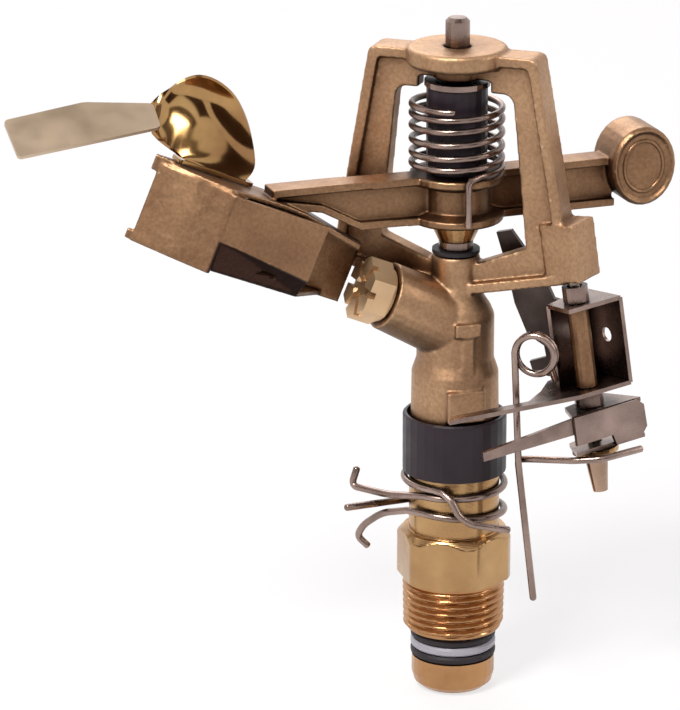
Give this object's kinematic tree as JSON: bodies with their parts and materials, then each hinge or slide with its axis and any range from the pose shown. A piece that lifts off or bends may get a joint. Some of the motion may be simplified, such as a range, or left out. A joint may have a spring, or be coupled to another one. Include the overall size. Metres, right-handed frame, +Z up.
{
  "type": "impact sprinkler",
  "caption": "Part-circle impact sprinkler with a threaded riser nipple, sprung drive arm, splash vane, and trip gear that reverses it between wire collars.",
  "frame": {"origin": "on the riser's axis, on the underside of the nipple's hexagon, where the thread begins", "axes": "+Z up the riser; the jet leaves towards -X at rest; +Y away from the side that the picture shows"},
  "size_m": [0.1717, 0.0572, 0.1776],
  "materials": {
    "cast_brass": "satin, as cast",
    "turned_brass": "machined",
    "polished_brass": "polished",
    "stainless_steel": "plain",
    "black_plastic": "moulded",
    "black_rubber": "matt",
    "white_plastic": "smooth"
  },
  "bodies": {
    "riser": {"bearing_nipple": "turned_brass"},
    "upper_collar": {"upper_trip_collar": "stainless_steel"},
    "lower_collar": {"lower_trip_collar": "stainless_steel"},
    "head": {"body_casting": "cast_brass", "bearing_tube": "turned_brass", "upper_seal_washer": "black_rubber", "friction_washer": "white_plastic", "lower_seal_washer": "black_rubber", "dust_sleeve": "black_plastic", "tension_spring": "stainless_steel", "nozzle": "turned_brass", "fulcrum_pin": "stainless_steel", "rubber_washer": "black_rubber", "thrust_washer": "stainless_steel", "spring_cup": "stainless_steel", "swivel_sleeve": "black_plastic", "trip_pin": "stainless_steel", "trip_washer": "turned_brass", "lug_spacer": "stainless_steel", "lever_spacer": "stainless_steel"},
    "arm": {"drive_arm": "cast_brass", "arm_bush": "turned_brass", "arm_spring": "stainless_steel", "splash_vane": "polished_brass", "vane_rivet": "turned_brass"},
    "housing": {"trip_housing": "stainless_steel", "reversing_striker": "stainless_steel", "trip_spacer": "cast_brass"},
    "lever": {"trip_lever": "stainless_steel", "trip_wire": "stainless_steel"}
  },
  "joints": [
    {"name": "head_turn", "type": "hinge", "parent": "riser", "child": "head", "pos_m": [0, 0, 0], "axis": [0, 0, 1], "range_deg": [-75, 200]},
    {"name": "upper_collar_turn", "type": "hinge", "parent": "riser", "child": "upper_collar", "pos_m": [0, 0, 0.0255], "axis": [0, 0, 1], "range_deg": [-60, 90]},
    {"name": "lower_collar_turn", "type": "hinge", "parent": "riser", "child": "lower_collar", "pos_m": [0, 0, 0.0184], "axis": [0, 0, 1], "range_deg": [-180, 60]},
    {"name": "arm_swing", "type": "hinge", "parent": "head", "child": "arm", "pos_m": [0, 0, 0.1017], "axis": [0, 0, 1], "range_deg": [0, 105], "stiffness_Nm_per_rad": 0.02, "springref_deg": -22.92},
    {"name": "lever_swing", "type": "hinge", "parent": "head", "child": "lever", "pos_m": [0.02421, -0.02031, 0.08], "axis": [-0.1099, 0.0922, 0.9897], "range_deg": [0, 12]},
    {"name": "housing_flip", "type": "hinge", "parent": "head", "child": "housing", "pos_m": [0.02421, -0.02031, 0.08], "axis": [-0.1099, 0.0922, 0.9897], "range_deg": [0, 7.5]}
  ],
  "couplings": [
    {"joint": "housing_flip", "follows": "lever_swing", "ratio": 0.6}
  ]
}
